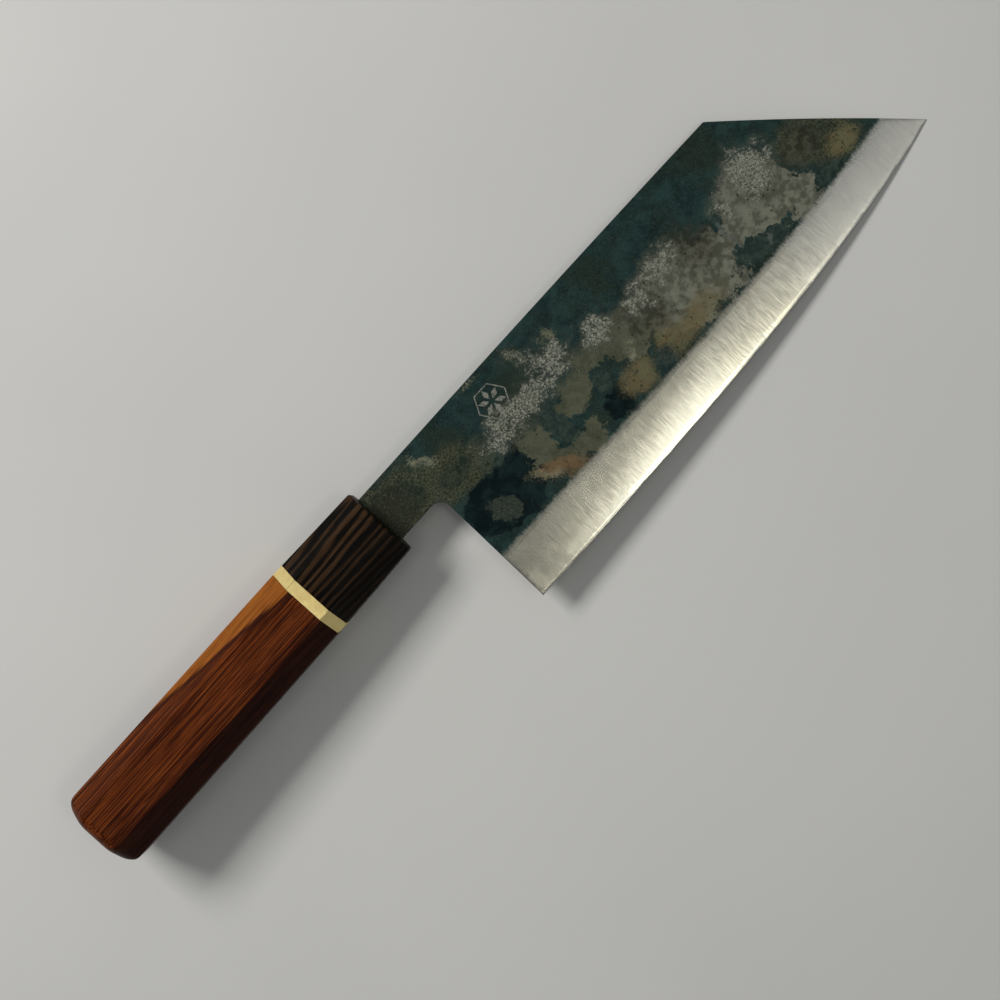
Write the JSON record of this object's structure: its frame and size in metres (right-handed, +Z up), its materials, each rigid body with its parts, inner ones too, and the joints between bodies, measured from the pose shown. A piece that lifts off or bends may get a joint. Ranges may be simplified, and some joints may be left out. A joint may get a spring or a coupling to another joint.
{
  "type": "chef knife",
  "caption": "Kitchen knife with a tall double-bevelled blade, an angled tip, a hidden tang and an eight-sided wooden handle with ferrule and spacer, lying on its side.",
  "frame": {"origin": "bottom centre of the part's bounding box, on the surface that the knife lies on", "axes": "+X from butt to tip, +Y towards the spine, +Z up, with the blade's right side facing up. The knife lies on its left side and tips forward by about 3 degrees, so that it rests on the ferrule's lower front edge and on the blade near its tip."},
  "size_m": [0.3108, 0.0616, 0.0283],
  "materials": {
    "forged_steel": "dark forge scale on the flats, brushed bright bevel along the edge",
    "striped_dark_wood": "near-black wood with brown stripes, semi-gloss",
    "spacer_brass": "satin",
    "red_brown_wood": "oiled, satin, with fine lengthwise grain",
    "dowel_wood": "plain, unfinished",
    "bedding_resin": "cured resin",
    "mouth_resin": "dark cured resin"
  },
  "bodies": {
    "root": {"blade": "forged_steel", "ferrule": "striped_dark_wood", "spacer": "spacer_brass", "handle_body": "red_brown_wood", "dowel": "dowel_wood", "tang_bedding": "bedding_resin", "mouth_seal": "mouth_resin"}
  },
  "joints": []
}
